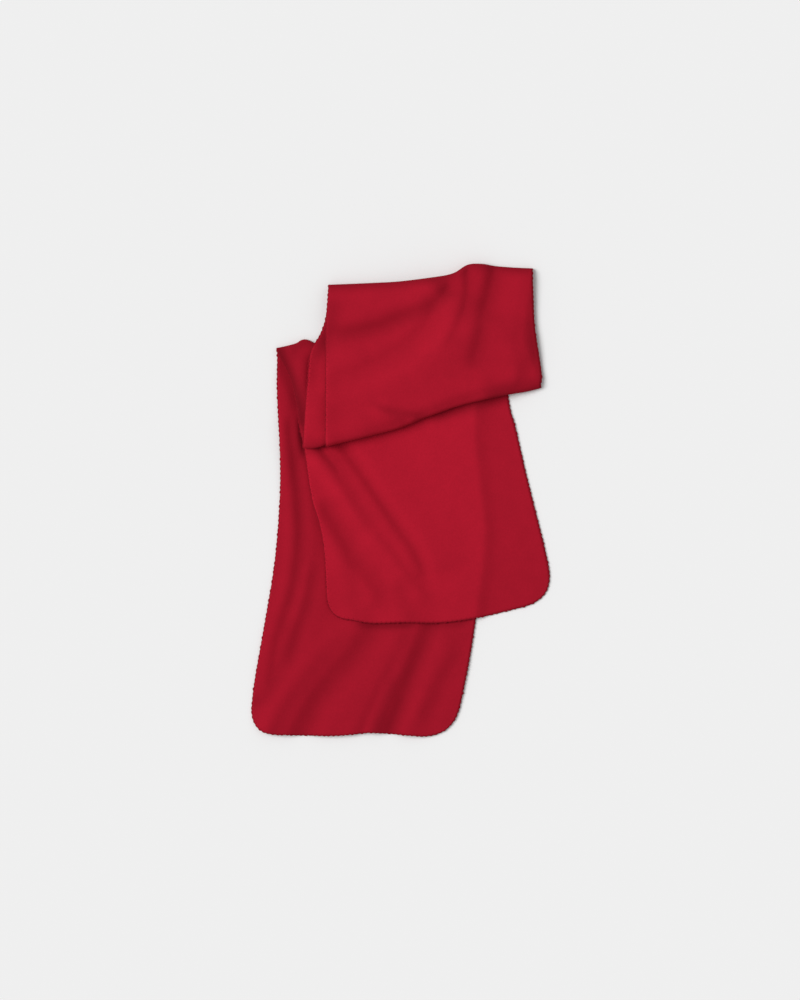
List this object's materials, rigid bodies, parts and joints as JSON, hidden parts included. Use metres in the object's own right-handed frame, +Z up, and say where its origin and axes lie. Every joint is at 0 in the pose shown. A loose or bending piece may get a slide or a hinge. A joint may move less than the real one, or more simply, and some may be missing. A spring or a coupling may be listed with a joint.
{
  "type": "fleece scarf",
  "caption": "Red fleece scarf with rounded ends and an overcast edge, folded flat in layers with a band across its top and both ends fanned out below.",
  "frame": {"origin": "on the surface under the middle of the folded scarf's box", "axes": "+Y from the lower end to the band, +X to the right of the laid scarf seen from above, +Z up, away from the surface"},
  "size_m": [0.3775, 0.5985, 0.0231],
  "materials": {
    "fleece": "matte brushed fleece"
  },
  "bodies": {
    "root": {"lower_end": "fleece", "upper_end": "fleece", "front_band": "fleece", "under_band": "fleece", "return_layer": "fleece", "tucked_layers": "fleece"}
  },
  "joints": []
}
